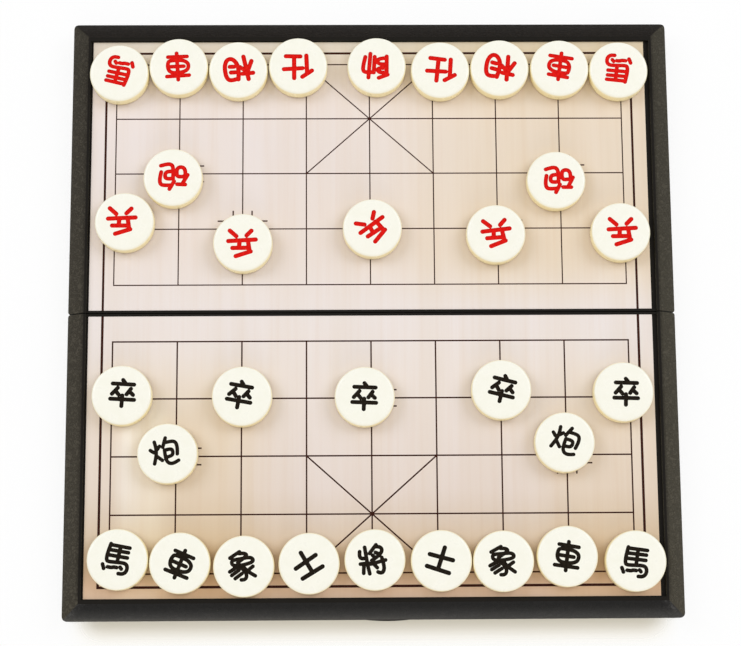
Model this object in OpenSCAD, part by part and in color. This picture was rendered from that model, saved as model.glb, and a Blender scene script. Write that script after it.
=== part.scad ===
// Folding travel case for xiangqi, opened flat with its men set out on the two board halves.
// X runs along the hinge line, Y from the front half to the rear half, Z up. All sizes in mm.
// The origin is the middle of the hinge line at table level.
// Each half is drawn with its outer edge at +Y, and the front half is its mirror image.

/* [Case] */
// Width of the case along the hinge line
case_w = 250; // [220:1:280]
// Depth of one half, from the hinge line to its outer edge
half_d = 124.4; // [118:0.2:140]
// Height of one half, from the table to the top of its rim
half_h = 14; // [13.5:0.5:20]
// Thickness of the outer walls
wall_t = 2; // [2:0.1:2.6]
// Thickness of the deck that carries the board
deck_t = 1.6; // [1.2:0.1:2.4]
// Radius of the two outer corners of a half, seen from above
corner_r = 2.2; // [2:0.1:4]
// Radius of the two corners beside the hinge line
seam_corner_r = 0.9; // [0.3:0.1:1.5]

/* [Rim] */
// Horizontal run of the sloping outer face of the rim
bevel_run = 6.9; // [5:0.1:8]
// Drop of that sloping face
bevel_drop = 4.5; // [3:0.1:4.5]
// How far the sloping face bows out at its middle
bevel_bow = 0.35; // [0.1:0.05:0.5]
// Width of the flat land inside the slope of the outer edge
rim_land = 1.6; // [1:0.1:2.4]
// Width of the flat land inside the slopes at the left and the right
side_land = 1; // [0.6:0.1:1.6]
// Depth of the board's face below the top of the rim
board_sink = 1.2; // [0.6:0.1:1.6]

/* [Board] */
// Thickness of a printed board sheet
sheet_t = 0.4; // [0.3:0.05:0.6]
// Gap between a sheet and the left wall of its pocket
sheet_gap_left = 0.9; // [0.8:0.1:1.4]
// Gap between a sheet and the right wall of its pocket
sheet_gap_right = 2.1; // [1.6:0.1:2.2]
// Gap between a sheet and the outer wall of its pocket
sheet_gap_outer = 0.3; // [0.2:0.1:1]
// Gap between a sheet and the lip beside the hinge line
sheet_gap_seam = 0.15; // [0.05:0.05:0.4]
// Thickness of the steel plate under a sheet
steel_t = 0.4; // [0.3:0.05:0.6]
// How far the recess of the steel plate lies inside the pocket
steel_inset = 2.5; // [2:0.1:6]
// Gap round the steel plate in its recess
steel_gap = 0.3; // [0.1:0.1:0.6]
// How far a man on the leftmost column reaches past the sheet's left edge
reach_left = 2.1; // [1.4:0.1:2.1]
// How far a man on the rightmost column reaches past the sheet's right edge
reach_right = 2.1; // [1.2:0.1:2.1]
// How far a man on the outermost row reaches past the sheet's outer edge
reach_outer = 2.4; // [1.7:0.1:2.4]

/* [Hinge line] */
// Gap between the two halves
seam_gap = 0.4; // [0.3:0.1:0.8]
// Thickness of the wall of each half along the hinge line
seam_wall_t = 1.9; // [1.6:0.1:2.4]
// Thickness of the lip that stands beside the board sheet
seam_lip_t = 0.9; // [0.6:0.1:1.2]
// How far that lip stands above the board's face
lip_proud = 0.2; // [0:0.1:0.5]
// Outer radius of the hinge knuckles
knuckle_r = 2.1; // [1.9:0.05:2.2]
// Height of the knuckles above the table
knuckle_lift = 0.1; // [0.1:0.05:0.3]
// Length of one knuckle
knuckle_l = 8; // [6:0.5:10]
// Gap between two knuckles along the pin
knuckle_gap = 0.3; // [0.2:0.05:0.5]
// Knuckles in one hinge, those of the front half at both ends
knuckle_count = 5; // [3:2:7]
// Distance from the end of the case to the middle of a hinge
hinge_inset = 47; // [40:1:60]
// Clearance round a knuckle in the wall of the other half
relief_gap = 0.3; // [0.2:0.05:0.5]
// Radius of the hinge pins
pin_r = 0.8; // [0.7:0.05:1]
// Running clearance of a pin in its knuckles
pin_clear = 0.05; // [0.03:0.01:0.08]
// How far a pin ends inside the last knuckle
pin_end_gap = 0.4; // [0.2:0.1:1]
// Length of a gusset along the deck behind a knuckle
gusset_l = 2.4; // [1.5:0.1:4]
// Thickness of a gusset
gusset_t = 1.2; // [0.8:0.1:2]

/* [Closing lap] */
// Thickness of the outer skirt of the front half
skirt_t = 0.9; // [0.8:0.05:1]
// Clearance between the skirt, the inner tongue and the faces that they meet
lap_gap = 0.2; // [0.15:0.05:0.25]
// Clearance between the two mouths beside the hinges
mouth_gap = 0.1; // [0.05:0.05:0.2]

/* [Stiffening ribs] */
// Ribs under each deck that run from the hinge line to the outer wall
rib_count = 6; // [3:1:8]
// Height of the ribs
rib_h = 1; // [0.6:0.1:1.4]
// Thickness of the ribs
rib_t = 1.2; // [0.8:0.1:2]

/* [Latch] */
// Place of the latch along the front wall
latch_x = 5.5; // [-20:0.5:20]
// Width of the latch
latch_w = 18; // [14:0.5:24]
// Thickness of the latch plate
latch_t = 0.85; // [0.7:0.05:0.85]
// How far the middle of the latch stands proud of the wall
latch_bulge = 0.5; // [0.2:0.05:0.6]
// Gap at each side of the latch
latch_side_gap = 0.25; // [0.2:0.05:0.4]
// Gap above the latch, which its turn needs
latch_top_gap = 0.35; // [0.35:0.05:0.5]
// Gap between the latch and the table
latch_foot_gap = 0.15; // [0.1:0.05:0.4]
// Wall left between the latch window and the sloping face
latch_head = 1.1; // [0.8:0.1:1.4]
// Depth of the latch's turning axis below its top edge
pivot_drop = 1.2; // [1.2:0.05:1.3]
// Depth of that axis inside the outer face of the wall
pivot_depth = 1.3; // [1.25:0.05:1.4]
// Radius of the latch's barrel
barrel_r = 1.2; // [1.1:0.05:1.2]
// Radius of the latch's pin
latch_pin_r = 0.6; // [0.5:0.05:0.65]
// How far that pin runs into each of its bosses
latch_pin_bite = 2.4; // [1.5:0.1:3]
// Thickness of the bosses beyond the ends of the pin
boss_end_t = 0.6; // [0.4:0.1:1.5]
// Depth of the bosses, from the outer face of the wall inwards
boss_depth = 3.2; // [3:0.1:4]
// Width of the ledges that stop the latch at rest
stop_w = 1; // [0.6:0.1:1.5]
// Width of the hook
hook_w = 8; // [6:0.5:12]
// Reach of the hook inside the latch plate
hook_reach = 0.75; // [0.6:0.05:0.85]
// Height of the hook's tip above the table
hook_low = 1; // [0.8:0.05:1.1]
// Height of the hook's catching face above the table
hook_high = 1.4; // [1.3:0.05:1.5]
// Clearance round the hook in its slot
hook_gap = 0.3; // [0.2:0.05:0.3]
// Width of the nail notch in the rear half
notch_w = 13; // [8:0.5:18]
// Height of the nail notch
notch_h = 1.5; // [1:0.1:2]

/* [Men] */
// Gap between two men on neighbouring columns
man_gap = 2; // [2:0.1:5]
// Height of a man
man_h = 6; // [4:0.1:8]
// Rounding of the upper edge
man_top_r = 1.3; // [0.8:0.1:1.6]
// Rounding of the lower edge
man_foot_r = 0.7; // [0.4:0.1:1]
// Diameter of the magnet in the foot
magnet_d = 11; // [8:0.5:14]
// Thickness of the magnet
magnet_t = 1.5; // [1:0.1:2.5]
// How far the magnet lies above the foot
magnet_lift = 0.2; // [0.1:0.05:0.5]
// Glue gap round the magnet
magnet_gap = 0.05; // [0.03:0.01:0.1]

/* [Hidden] */
$fn = 64;
over = 1;
bow_steps = 6;

seam_y = seam_gap / 2;
seam_in_y = seam_y + seam_wall_t;
lip_y = seam_y + seam_lip_t;
inner_w = case_w - 2 * wall_t;
inner_y = half_d - wall_t;
pocket_w = case_w - 2 * (bevel_run + side_land);
pocket_y = half_d - bevel_run - rim_land;

// The printed sheet, and the grid of nine columns by five rows a half that its lines make.
// A man stands on a point, so the size of the men follows from the columns.
column_count = 9;
row_count = 5;
sheet_left = sheet_gap_left - pocket_w / 2;
sheet_right = pocket_w / 2 - sheet_gap_right;
sheet_in_y = lip_y + sheet_gap_seam;
sheet_out_y = pocket_y - sheet_gap_outer;
col_pitch = (sheet_right - sheet_left + reach_left + reach_right + man_gap) / column_count;
man_d = col_pitch - man_gap;
row_pitch = (sheet_out_y + reach_outer - man_d / 2) / (row_count - 0.5);
grid_x = (sheet_left + sheet_right + reach_right - reach_left) / 2;

shoulder_z = half_h - bevel_drop;
board_z = half_h - board_sink;
ledge_z = board_z - sheet_t;
steel_z = ledge_z - steel_t;
ceiling_z = steel_z - deck_t;

// The inside slope runs parallel to the outer one, a wall's thickness below it
skin_drop = wall_t * norm([bevel_run, bevel_drop]) / bevel_run;
slope_in_z = shoulder_z + wall_t * bevel_drop / bevel_run - skin_drop;
slope_in_run = (ceiling_z + skin_drop - shoulder_z) * bevel_run / bevel_drop;

axis_z = knuckle_r + knuckle_lift;
mouth_z = axis_z + mouth_gap;
lap_z = 2 * axis_z + lap_gap;
lap_y = seam_in_y + lap_gap;
tongue_in = skirt_t + lap_gap;
hinge_x = case_w / 2 - hinge_inset;
hinge_l = knuckle_count * knuckle_l + (knuckle_count - 1) * knuckle_gap;

window_z = shoulder_z - latch_head;
latch_z = window_z - latch_top_gap;
pivot_z = latch_z - pivot_drop;
pivot_y = half_d - pivot_depth;
stop_z = pivot_z - barrel_r - latch_side_gap;
window_w = latch_w + 2 * latch_side_gap;
boss_z = lap_z + lap_gap;
plate_in_y = half_d - latch_t;
hook_in_y = plate_in_y - hook_reach;

// Each man: name, side of the river, column, rank away from the river, and the shares of a
// column and of a row by which it stands off its board point in X and Y
MEN = [
    ["red_horse_left", 1, -4, 4, 0.055, -0.225],
    ["red_chariot_left", 1, -3, 4, -0.01, -0.11],
    ["red_elephant_left", 1, -2, 4, -0.07, -0.17],
    ["red_advisor_left", 1, -1, 4, -0.125, -0.1],
    ["red_general", 1, 0, 4, 0.115, -0.1],
    ["red_advisor_right", 1, 1, 4, 0.12, -0.18],
    ["red_elephant_right", 1, 2, 4, 0.06, -0.145],
    ["red_chariot_right", 1, 3, 4, 0.01, -0.15],
    ["red_horse_right", 1, 4, 4, -0.055, -0.185],
    ["red_cannon_left", 1, -3, 2, -0.08, -0.125],
    ["red_cannon_right", 1, 3, 2, -0.085, -0.19],
    ["red_soldier_1", 1, -4, 1, 0.175, 0.085],
    ["red_soldier_2", 1, -2, 1, 0.015, -0.295],
    ["red_soldier_3", 1, 0, 1, 0.03, -0.04],
    ["red_soldier_4", 1, 2, 1, -0.045, -0.15],
    ["red_soldier_5", 1, 4, 1, -0.095, -0.12],
    ["black_horse_left", -1, -4, 4, 0.15, 0.24],
    ["black_chariot_left", -1, -3, 4, 0.09, 0.175],
    ["black_elephant_left", -1, -2, 4, 0.055, 0.115],
    ["black_advisor_left", -1, -1, 4, 0.04, 0.155],
    ["black_general", -1, 0, 4, 0.035, 0.21],
    ["black_advisor_right", -1, 1, 4, 0.04, 0.19],
    ["black_elephant_right", -1, 2, 4, -0.02, 0.175],
    ["black_chariot_right", -1, 3, 4, -0.05, 0.25],
    ["black_horse_right", -1, 4, 4, -0.015, 0.165],
    ["black_cannon_left", -1, -3, 2, -0.115, 0.03],
    ["black_cannon_right", -1, 3, 2, -0.05, 0.19],
    ["black_soldier_1", -1, -4, 1, 0.175, 0.035],
    ["black_soldier_2", -1, -2, 1, 0.015, 0.01],
    ["black_soldier_3", -1, 0, 1, -0.105, -0.005],
    ["black_soldier_4", -1, 2, 1, -0.005, 0.105],
    ["black_soldier_5", -1, 4, 1, -0.125, 0.055]
];
FIXED = [
    "front_case", "rear_case", "front_steel_plate", "rear_steel_plate", "front_board_sheet",
    "rear_board_sheet", "left_hinge_pin", "right_hinge_pin", "latch", "latch_pin"
];

// Points of a shallow bow from p to q that stands out to the left of that direction
function bow(p, q, height) = [
    for (i = [0 : bow_steps])
        let (t = i / bow_steps, run = q - p)
            p + t * run + 4 * height * t * (1 - t) * [-run[1], run[0]] / norm(run)
];

// A plan outline whose two outer corners are round and whose corners at the hinge line are square
module round_plan(w, y_in, y_out, r) {
    x = w / 2 - r;
    translate([-w / 2, y_in]) square([w, y_out - y_in - r]);
    translate([-x, y_in]) square([2 * x, y_out - y_in]);
    for (side = [-1, 1])
        translate([side * x, y_out - r]) circle(r);
}

// Plan of a half, with the small corners beside the hinge line rounded as well
module case_plan() {
    intersection() {
        round_plan(case_w, seam_y, half_d, corner_r);
        mirror([0, 1]) round_plan(case_w, -half_d, -seam_y, seam_corner_r);
    }
}

// Extrudes a profile drawn in X and Z along the whole depth of a half
module along_depth() {
    translate([0, half_d + over, 0])
        rotate([90, 0, 0])
            linear_extrude(half_d + 2 * over) children();
}

// Extrudes a profile drawn in Y and Z along X, centred on the middle of the case
module along_width(length) {
    translate([-length / 2, 0, 0])
        rotate([90, 0, 90])
            linear_extrude(length) children();
}

// A box given by its width about x, and by its limits in Y and Z
module slab(x, w, y0, y1, z0, z1) {
    translate([x - w / 2, y0, z0]) cube([w, y1 - y0, z1 - z0]);
}

// Outer form of a half: a plan with round corners under mitred, slightly bowed slopes
module outer_form() {
    edge_x = case_w / 2;
    intersection() {
        linear_extrude(half_h) case_plan();
        along_depth() polygon(concat(
            [[-edge_x, 0]],
            bow([-edge_x, shoulder_z], [bevel_run - edge_x, half_h], bevel_bow),
            bow([edge_x - bevel_run, half_h], [edge_x, shoulder_z], bevel_bow),
            [[edge_x, 0]]
        ));
        along_width(case_w + 2 * over) polygon(concat(
            [[seam_y, 0], [seam_y, half_h]],
            bow([half_d - bevel_run, half_h], [half_d, shoulder_z], bevel_bow),
            [[half_d, 0]]
        ));
    }
}

// Hollow under the deck, open at the mouth
module storage_hollow() {
    edge_x = inner_w / 2;
    top_x = case_w / 2 - slope_in_run;
    intersection() {
        translate([0, 0, -over])
            linear_extrude(ceiling_z + over)
                round_plan(inner_w, seam_in_y, inner_y, corner_r - tongue_in);
        along_depth() polygon([
            [-edge_x, -over], [-edge_x, slope_in_z], [-top_x, ceiling_z],
            [top_x, ceiling_z], [edge_x, slope_in_z], [edge_x, -over]
        ]);
        along_width(case_w) polygon([
            [0, -over], [0, ceiling_z], [half_d - slope_in_run, ceiling_z],
            [inner_y, slope_in_z], [inner_y, -over]
        ]);
    }
}

// Low ribs that stiffen the deck from below
module deck_ribs() {
    step = inner_w / (rib_count + 1);
    for (i = [1 : rib_count])
        slab(i * step - inner_w / 2, rib_t, 0, half_d, ceiling_z - rib_h, half_h);
    slab(0, case_w, half_d / 2, half_d / 2 + rib_t, ceiling_z - rib_h, half_h);
}

// Stepped pocket for the printed sheet and the steel plate, with the low lip at the hinge line
module board_pocket() {
    slab(0, pocket_w, lip_y, pocket_y, ledge_z, half_h + over);
    slab(0, pocket_w - 2 * steel_inset, lip_y + steel_inset, pocket_y - steel_inset, steel_z, half_h);
    slab(0, pocket_w, -over, lip_y + over, board_z + lip_proud, half_h + over);
}

// Clears the mouth beside the hinge line down to the level where the halves meet
module hinge_mouth() {
    slab(0, case_w + over, -over, seam_in_y, -over, mouth_z);
    slab(0, case_w + over, seam_in_y, lap_y, -over, lap_z);
}

// Everything inside the outer skirt, from the table up to the lap
module skirt_inside() {
    translate([0, 0, -over])
        linear_extrude(lap_z + over)
            round_plan(case_w - 2 * skirt_t, lap_y, half_d - skirt_t, corner_r - skirt_t);
}

// Everything outside the inner tongue, from the table up to the lap
module tongue_outside() {
    difference() {
        slab(0, case_w + over, lap_y, half_d + over, -over, lap_z);
        translate([0, 0, -2 * over])
            linear_extrude(lap_z + 3 * over)
                round_plan(case_w - 2 * tongue_in, lap_y, half_d - tongue_in, corner_r - tongue_in);
    }
}

// Places a rod of length l along X at every second knuckle, from the first or the second on
module at_knuckles(first) {
    for (side = [-1, 1], i = [first : 2 : knuckle_count - 1])
        translate([side * hinge_x + (i - (knuckle_count - 1) / 2) * (knuckle_l + knuckle_gap), 0, axis_z])
            children();
}

module rod(r, l) {
    rotate([0, 90, 0]) cylinder(r = r, h = l, center = true);
}

// One knuckle with the gusset behind it
module knuckle() {
    rod(knuckle_r, knuckle_l);
    translate([-gusset_t / 2, 0, -axis_z])
        rotate([90, 0, 90])
            linear_extrude(gusset_t) polygon([
                [lip_y, mouth_z], [seam_in_y, mouth_z], [seam_in_y + gusset_l, ceiling_z],
                [seam_in_y + gusset_l, ceiling_z + deck_t / 2], [lip_y, ceiling_z + deck_t / 2]
            ]);
}

// A half case without its lap: the children are cut from the shell before the knuckles join it
module half_case(first) {
    difference() {
        union() {
            difference() {
                outer_form();
                difference() {
                    storage_hollow();
                    deck_ribs();
                }
                board_pocket();
                hinge_mouth();
                at_knuckles(1 - first) rod(knuckle_r + relief_gap, knuckle_l + 2 * knuckle_gap);
                children();
            }
            at_knuckles(first) knuckle();
        }
        for (side = [-1, 1])
            translate([side * hinge_x, 0, axis_z]) rod(pin_r + pin_clear, hinge_l + over);
    }
}

// Window for the latch, with a ledge at each side that stops the plate
module latch_window() {
    slab(latch_x, window_w, plate_in_y - pin_clear, half_d + over, -over, window_z);
    slab(latch_x, window_w, half_d - boss_depth, half_d, stop_z, window_z);
    slab(latch_x, window_w - 2 * stop_w, half_d - boss_depth, half_d, -over, window_z);
}

// Bosses inside the front wall that carry the latch's pin
module latch_bosses() {
    boss_w = latch_pin_bite + boss_end_t;
    for (side = [-1, 1])
        slab(latch_x + side * (window_w + boss_w) / 2, boss_w, half_d - boss_depth, half_d - skirt_t,
             boss_z, window_z);
}

module latch_bore() {
    translate([latch_x, pivot_y, pivot_z])
        rod(latch_pin_r + pin_clear, window_w + 2 * latch_pin_bite + pin_clear);
}

module front_case() {
    color("#26241f")
        mirror([0, 1, 0])
            difference() {
                union() {
                    half_case(0) skirt_inside();
                    latch_bosses();
                }
                latch_window();
                latch_bore();
            }
}

// Slot in the tongue that takes the hook when the case is shut
module hook_slot() {
    slab(latch_x, hook_w + 2 * hook_gap, inner_y - over, half_d,
         2 * axis_z - hook_high - hook_gap, 2 * axis_z - hook_low + hook_reach + hook_gap);
}

// Shallow scallop under the latch's lower edge, seen when the case is shut
module nail_notch() {
    scallop_r = (pow(notch_w / 2, 2) + pow(notch_h, 2)) / (2 * notch_h);
    translate([latch_x, half_d - wall_t / 2, lap_z + notch_h - scallop_r])
        rotate([-90, 0, 0])
            cylinder(r = scallop_r, h = wall_t);
}

module rear_case() {
    color("#26241f")
        difference() {
            half_case(1) tongue_outside();
            hook_slot();
            intersection() {
                nail_notch();
                slab(latch_x, notch_w + over, 0, half_d + over, lap_z - lap_gap, half_h);
            }
        }
}

module steel_plate() {
    w = pocket_w - 2 * steel_inset - 2 * steel_gap;
    gap = steel_inset + steel_gap;
    color("#9a9b9d") slab(0, w, lip_y + gap, pocket_y - gap, steel_z, ledge_z);
}

module board_sheet() {
    color("#e4d5c8")
        slab((sheet_left + sheet_right) / 2, sheet_right - sheet_left, sheet_in_y, sheet_out_y,
             ledge_z, board_z);
}

module hinge_pin(side) {
    color("#b4b5b8")
        translate([side * hinge_x, 0, axis_z]) rod(pin_r, hinge_l - 2 * pin_end_gap);
}

// Rocking latch: a slightly bulging plate with a barrel behind it and a hook at its foot
module latch() {
    bulge_r = (pow(latch_w / 2, 2) + pow(latch_bulge, 2)) / (2 * latch_bulge);
    barrel_l = window_w - 2 * stop_w - 2 * latch_side_gap;
    color("#2b2924")
        mirror([0, 1, 0])
            difference() {
                union() {
                    intersection() {
                        slab(latch_x, latch_w, plate_in_y, half_d + latch_bulge, latch_foot_gap, latch_z);
                        translate([latch_x, half_d + latch_bulge - bulge_r, 0])
                            cylinder(r = bulge_r, h = half_h, $fn = 180);
                    }
                    translate([latch_x, pivot_y, pivot_z]) rod(barrel_r, barrel_l);
                    translate([latch_x, 0, 0])
                        along_width(hook_w) polygon([
                            [plate_in_y, hook_low - hook_reach], [hook_in_y, hook_low],
                            [hook_in_y, hook_high], [plate_in_y, hook_high],
                            [half_d - latch_t / 2, hook_high], [half_d - latch_t / 2, hook_low - hook_reach]
                        ]);
                }
                latch_bore();
            }
}

module latch_pin() {
    color("#b4b5b8")
        mirror([0, 1, 0])
            translate([latch_x, pivot_y, pivot_z]) rod(latch_pin_r, window_w + 2 * latch_pin_bite);
}

// Turned outline of a man, from its axis to its rounded edge
module man_outline() {
    r = man_d / 2;
    square([r - man_top_r, man_h]);
    square([r - man_foot_r, man_h - man_top_r]);
    translate([0, man_foot_r]) square([r, man_h - man_foot_r - man_top_r]);
    translate([r - man_top_r, man_h - man_top_r]) circle(man_top_r);
    translate([r - man_foot_r, man_foot_r]) circle(man_foot_r);
}

// A man with the magnet glued into its foot, standing on the board
module man(spec) {
    x = grid_x + (spec[2] + spec[4]) * col_pitch;
    y = (spec[1] * (spec[3] + 0.5) + spec[5]) * row_pitch;
    translate([x, y, board_z]) {
        color("#f6f4e6")
            difference() {
                rotate_extrude() man_outline();
                translate([0, 0, -over])
                    cylinder(d = magnet_d + 2 * magnet_gap, h = over + magnet_lift + magnet_t + magnet_gap);
            }
        color("#4a4a4d")
            translate([0, 0, magnet_lift]) cylinder(d = magnet_d, h = magnet_t);
    }
}

front_case();
rear_case();
mirror([0, 1, 0]) steel_plate();  // front_steel_plate
steel_plate();  // rear_steel_plate
mirror([0, 1, 0]) board_sheet();  // front_board_sheet
board_sheet();  // rear_board_sheet
hinge_pin(-1);  // left_hinge_pin
hinge_pin(1);  // right_hinge_pin
latch();
latch_pin();
for (spec = MEN)
    man(spec);
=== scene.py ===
"""A folding xiangqi travel case, opened flat with its thirty-two men: looks, light and camera."""
import math

import bmesh
import bpy
import numpy as np
from mathutils import Matrix, Vector
from mathutils.geometry import delaunay_2d_cdt

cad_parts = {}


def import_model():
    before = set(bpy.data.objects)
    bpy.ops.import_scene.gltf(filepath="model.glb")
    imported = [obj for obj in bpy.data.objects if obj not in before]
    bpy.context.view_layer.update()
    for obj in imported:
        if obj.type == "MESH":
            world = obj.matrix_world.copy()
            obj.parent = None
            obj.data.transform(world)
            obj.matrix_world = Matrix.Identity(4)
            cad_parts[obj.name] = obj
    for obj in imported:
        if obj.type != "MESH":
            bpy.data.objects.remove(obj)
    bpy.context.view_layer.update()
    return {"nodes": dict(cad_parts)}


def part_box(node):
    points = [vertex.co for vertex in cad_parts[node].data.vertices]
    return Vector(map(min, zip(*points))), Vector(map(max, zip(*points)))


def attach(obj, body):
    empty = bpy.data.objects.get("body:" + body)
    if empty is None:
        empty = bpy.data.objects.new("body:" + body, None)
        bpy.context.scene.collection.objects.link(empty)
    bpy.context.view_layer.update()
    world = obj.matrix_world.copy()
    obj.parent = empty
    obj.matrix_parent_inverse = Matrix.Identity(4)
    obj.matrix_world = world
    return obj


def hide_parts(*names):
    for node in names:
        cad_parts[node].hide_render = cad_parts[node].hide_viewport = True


MM = 0.001

# Case, in millimetres
CASE_HALF_WIDE = 125.0
CASE_HALF_DEEP = 124.4

# Board print, in millimetres
COLUMNS = 9
ROWS = 5                  # lines a half, counted from the river
MARGIN_LEFT = 10.089      # sheet's edge to the first column's line
MARGIN_RIGHT = 10.089
MARGIN_OUTER = 9.789      # sheet's outer edge to the back row's line
THIN_LINE_REAR = 0.5
THIN_LINE_FRONT = 0.62
BORDER_LINE_REAR = 0.94
BORDER_LINE_FRONT = 1.06
BORDER_SIDE = 4.3         # border's middle outside the grid, at the sides
BORDER_BACK_REAR = 4.9    # and behind the back row
BORDER_BACK_FRONT = 5.3
TICK_X = 3.9              # corner marks round a cannon's or a soldier's point: their corners' distance
TICK_Y = 3.35
TICK_LONG_X = 6.4         # and how long their legs are
TICK_LONG_Y = 4.4
TICK_LINE = 0.6
PALACE_HALF = 1           # columns to each side of the middle one
PALACE_ROWS = 2
CANNON_COLUMNS = (-3, 3)
CANNON_ROW = 2
SOLDIER_COLUMNS = (-4, -2, 0, 2, 4)
SOLDIER_ROW = 1

# Men, in millimetres
MAN_SIDES = 96            # steps round the rim
TOP_ROUND = 1.3
FOOT_ROUND = 0.7
ROUND_STEPS = 6
SHARP_ANGLE = 34          # in degrees: faces that meet at more than this keep a sharp edge
RECESS_R = 5.55
RECESS_DEEP = 1.75
MAGNET_R = 5.5
MAGNET_LOW = 0.2
MAGNET_HIGH = 1.7
MAGNET_CHAMFER = 0.2
MARK_DEEP = 0.3
RED_WIDTH = 1.05          # red strokes, as a share of the width that the marks give
FIELD_STEP = 0.16         # grid on which a mark's outline is traced
FIELD_REACH = 9.2
MARK_MERGE = 1e-6         # points nearer than this are one when a face is cut along its mark
LINE_MERGE = 1e-4         # and when a sheet is cut along its lines
PAINT_SLOT = 1            # a man's material slots, after the ivory
MAGNET_SLOT = 2

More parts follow.
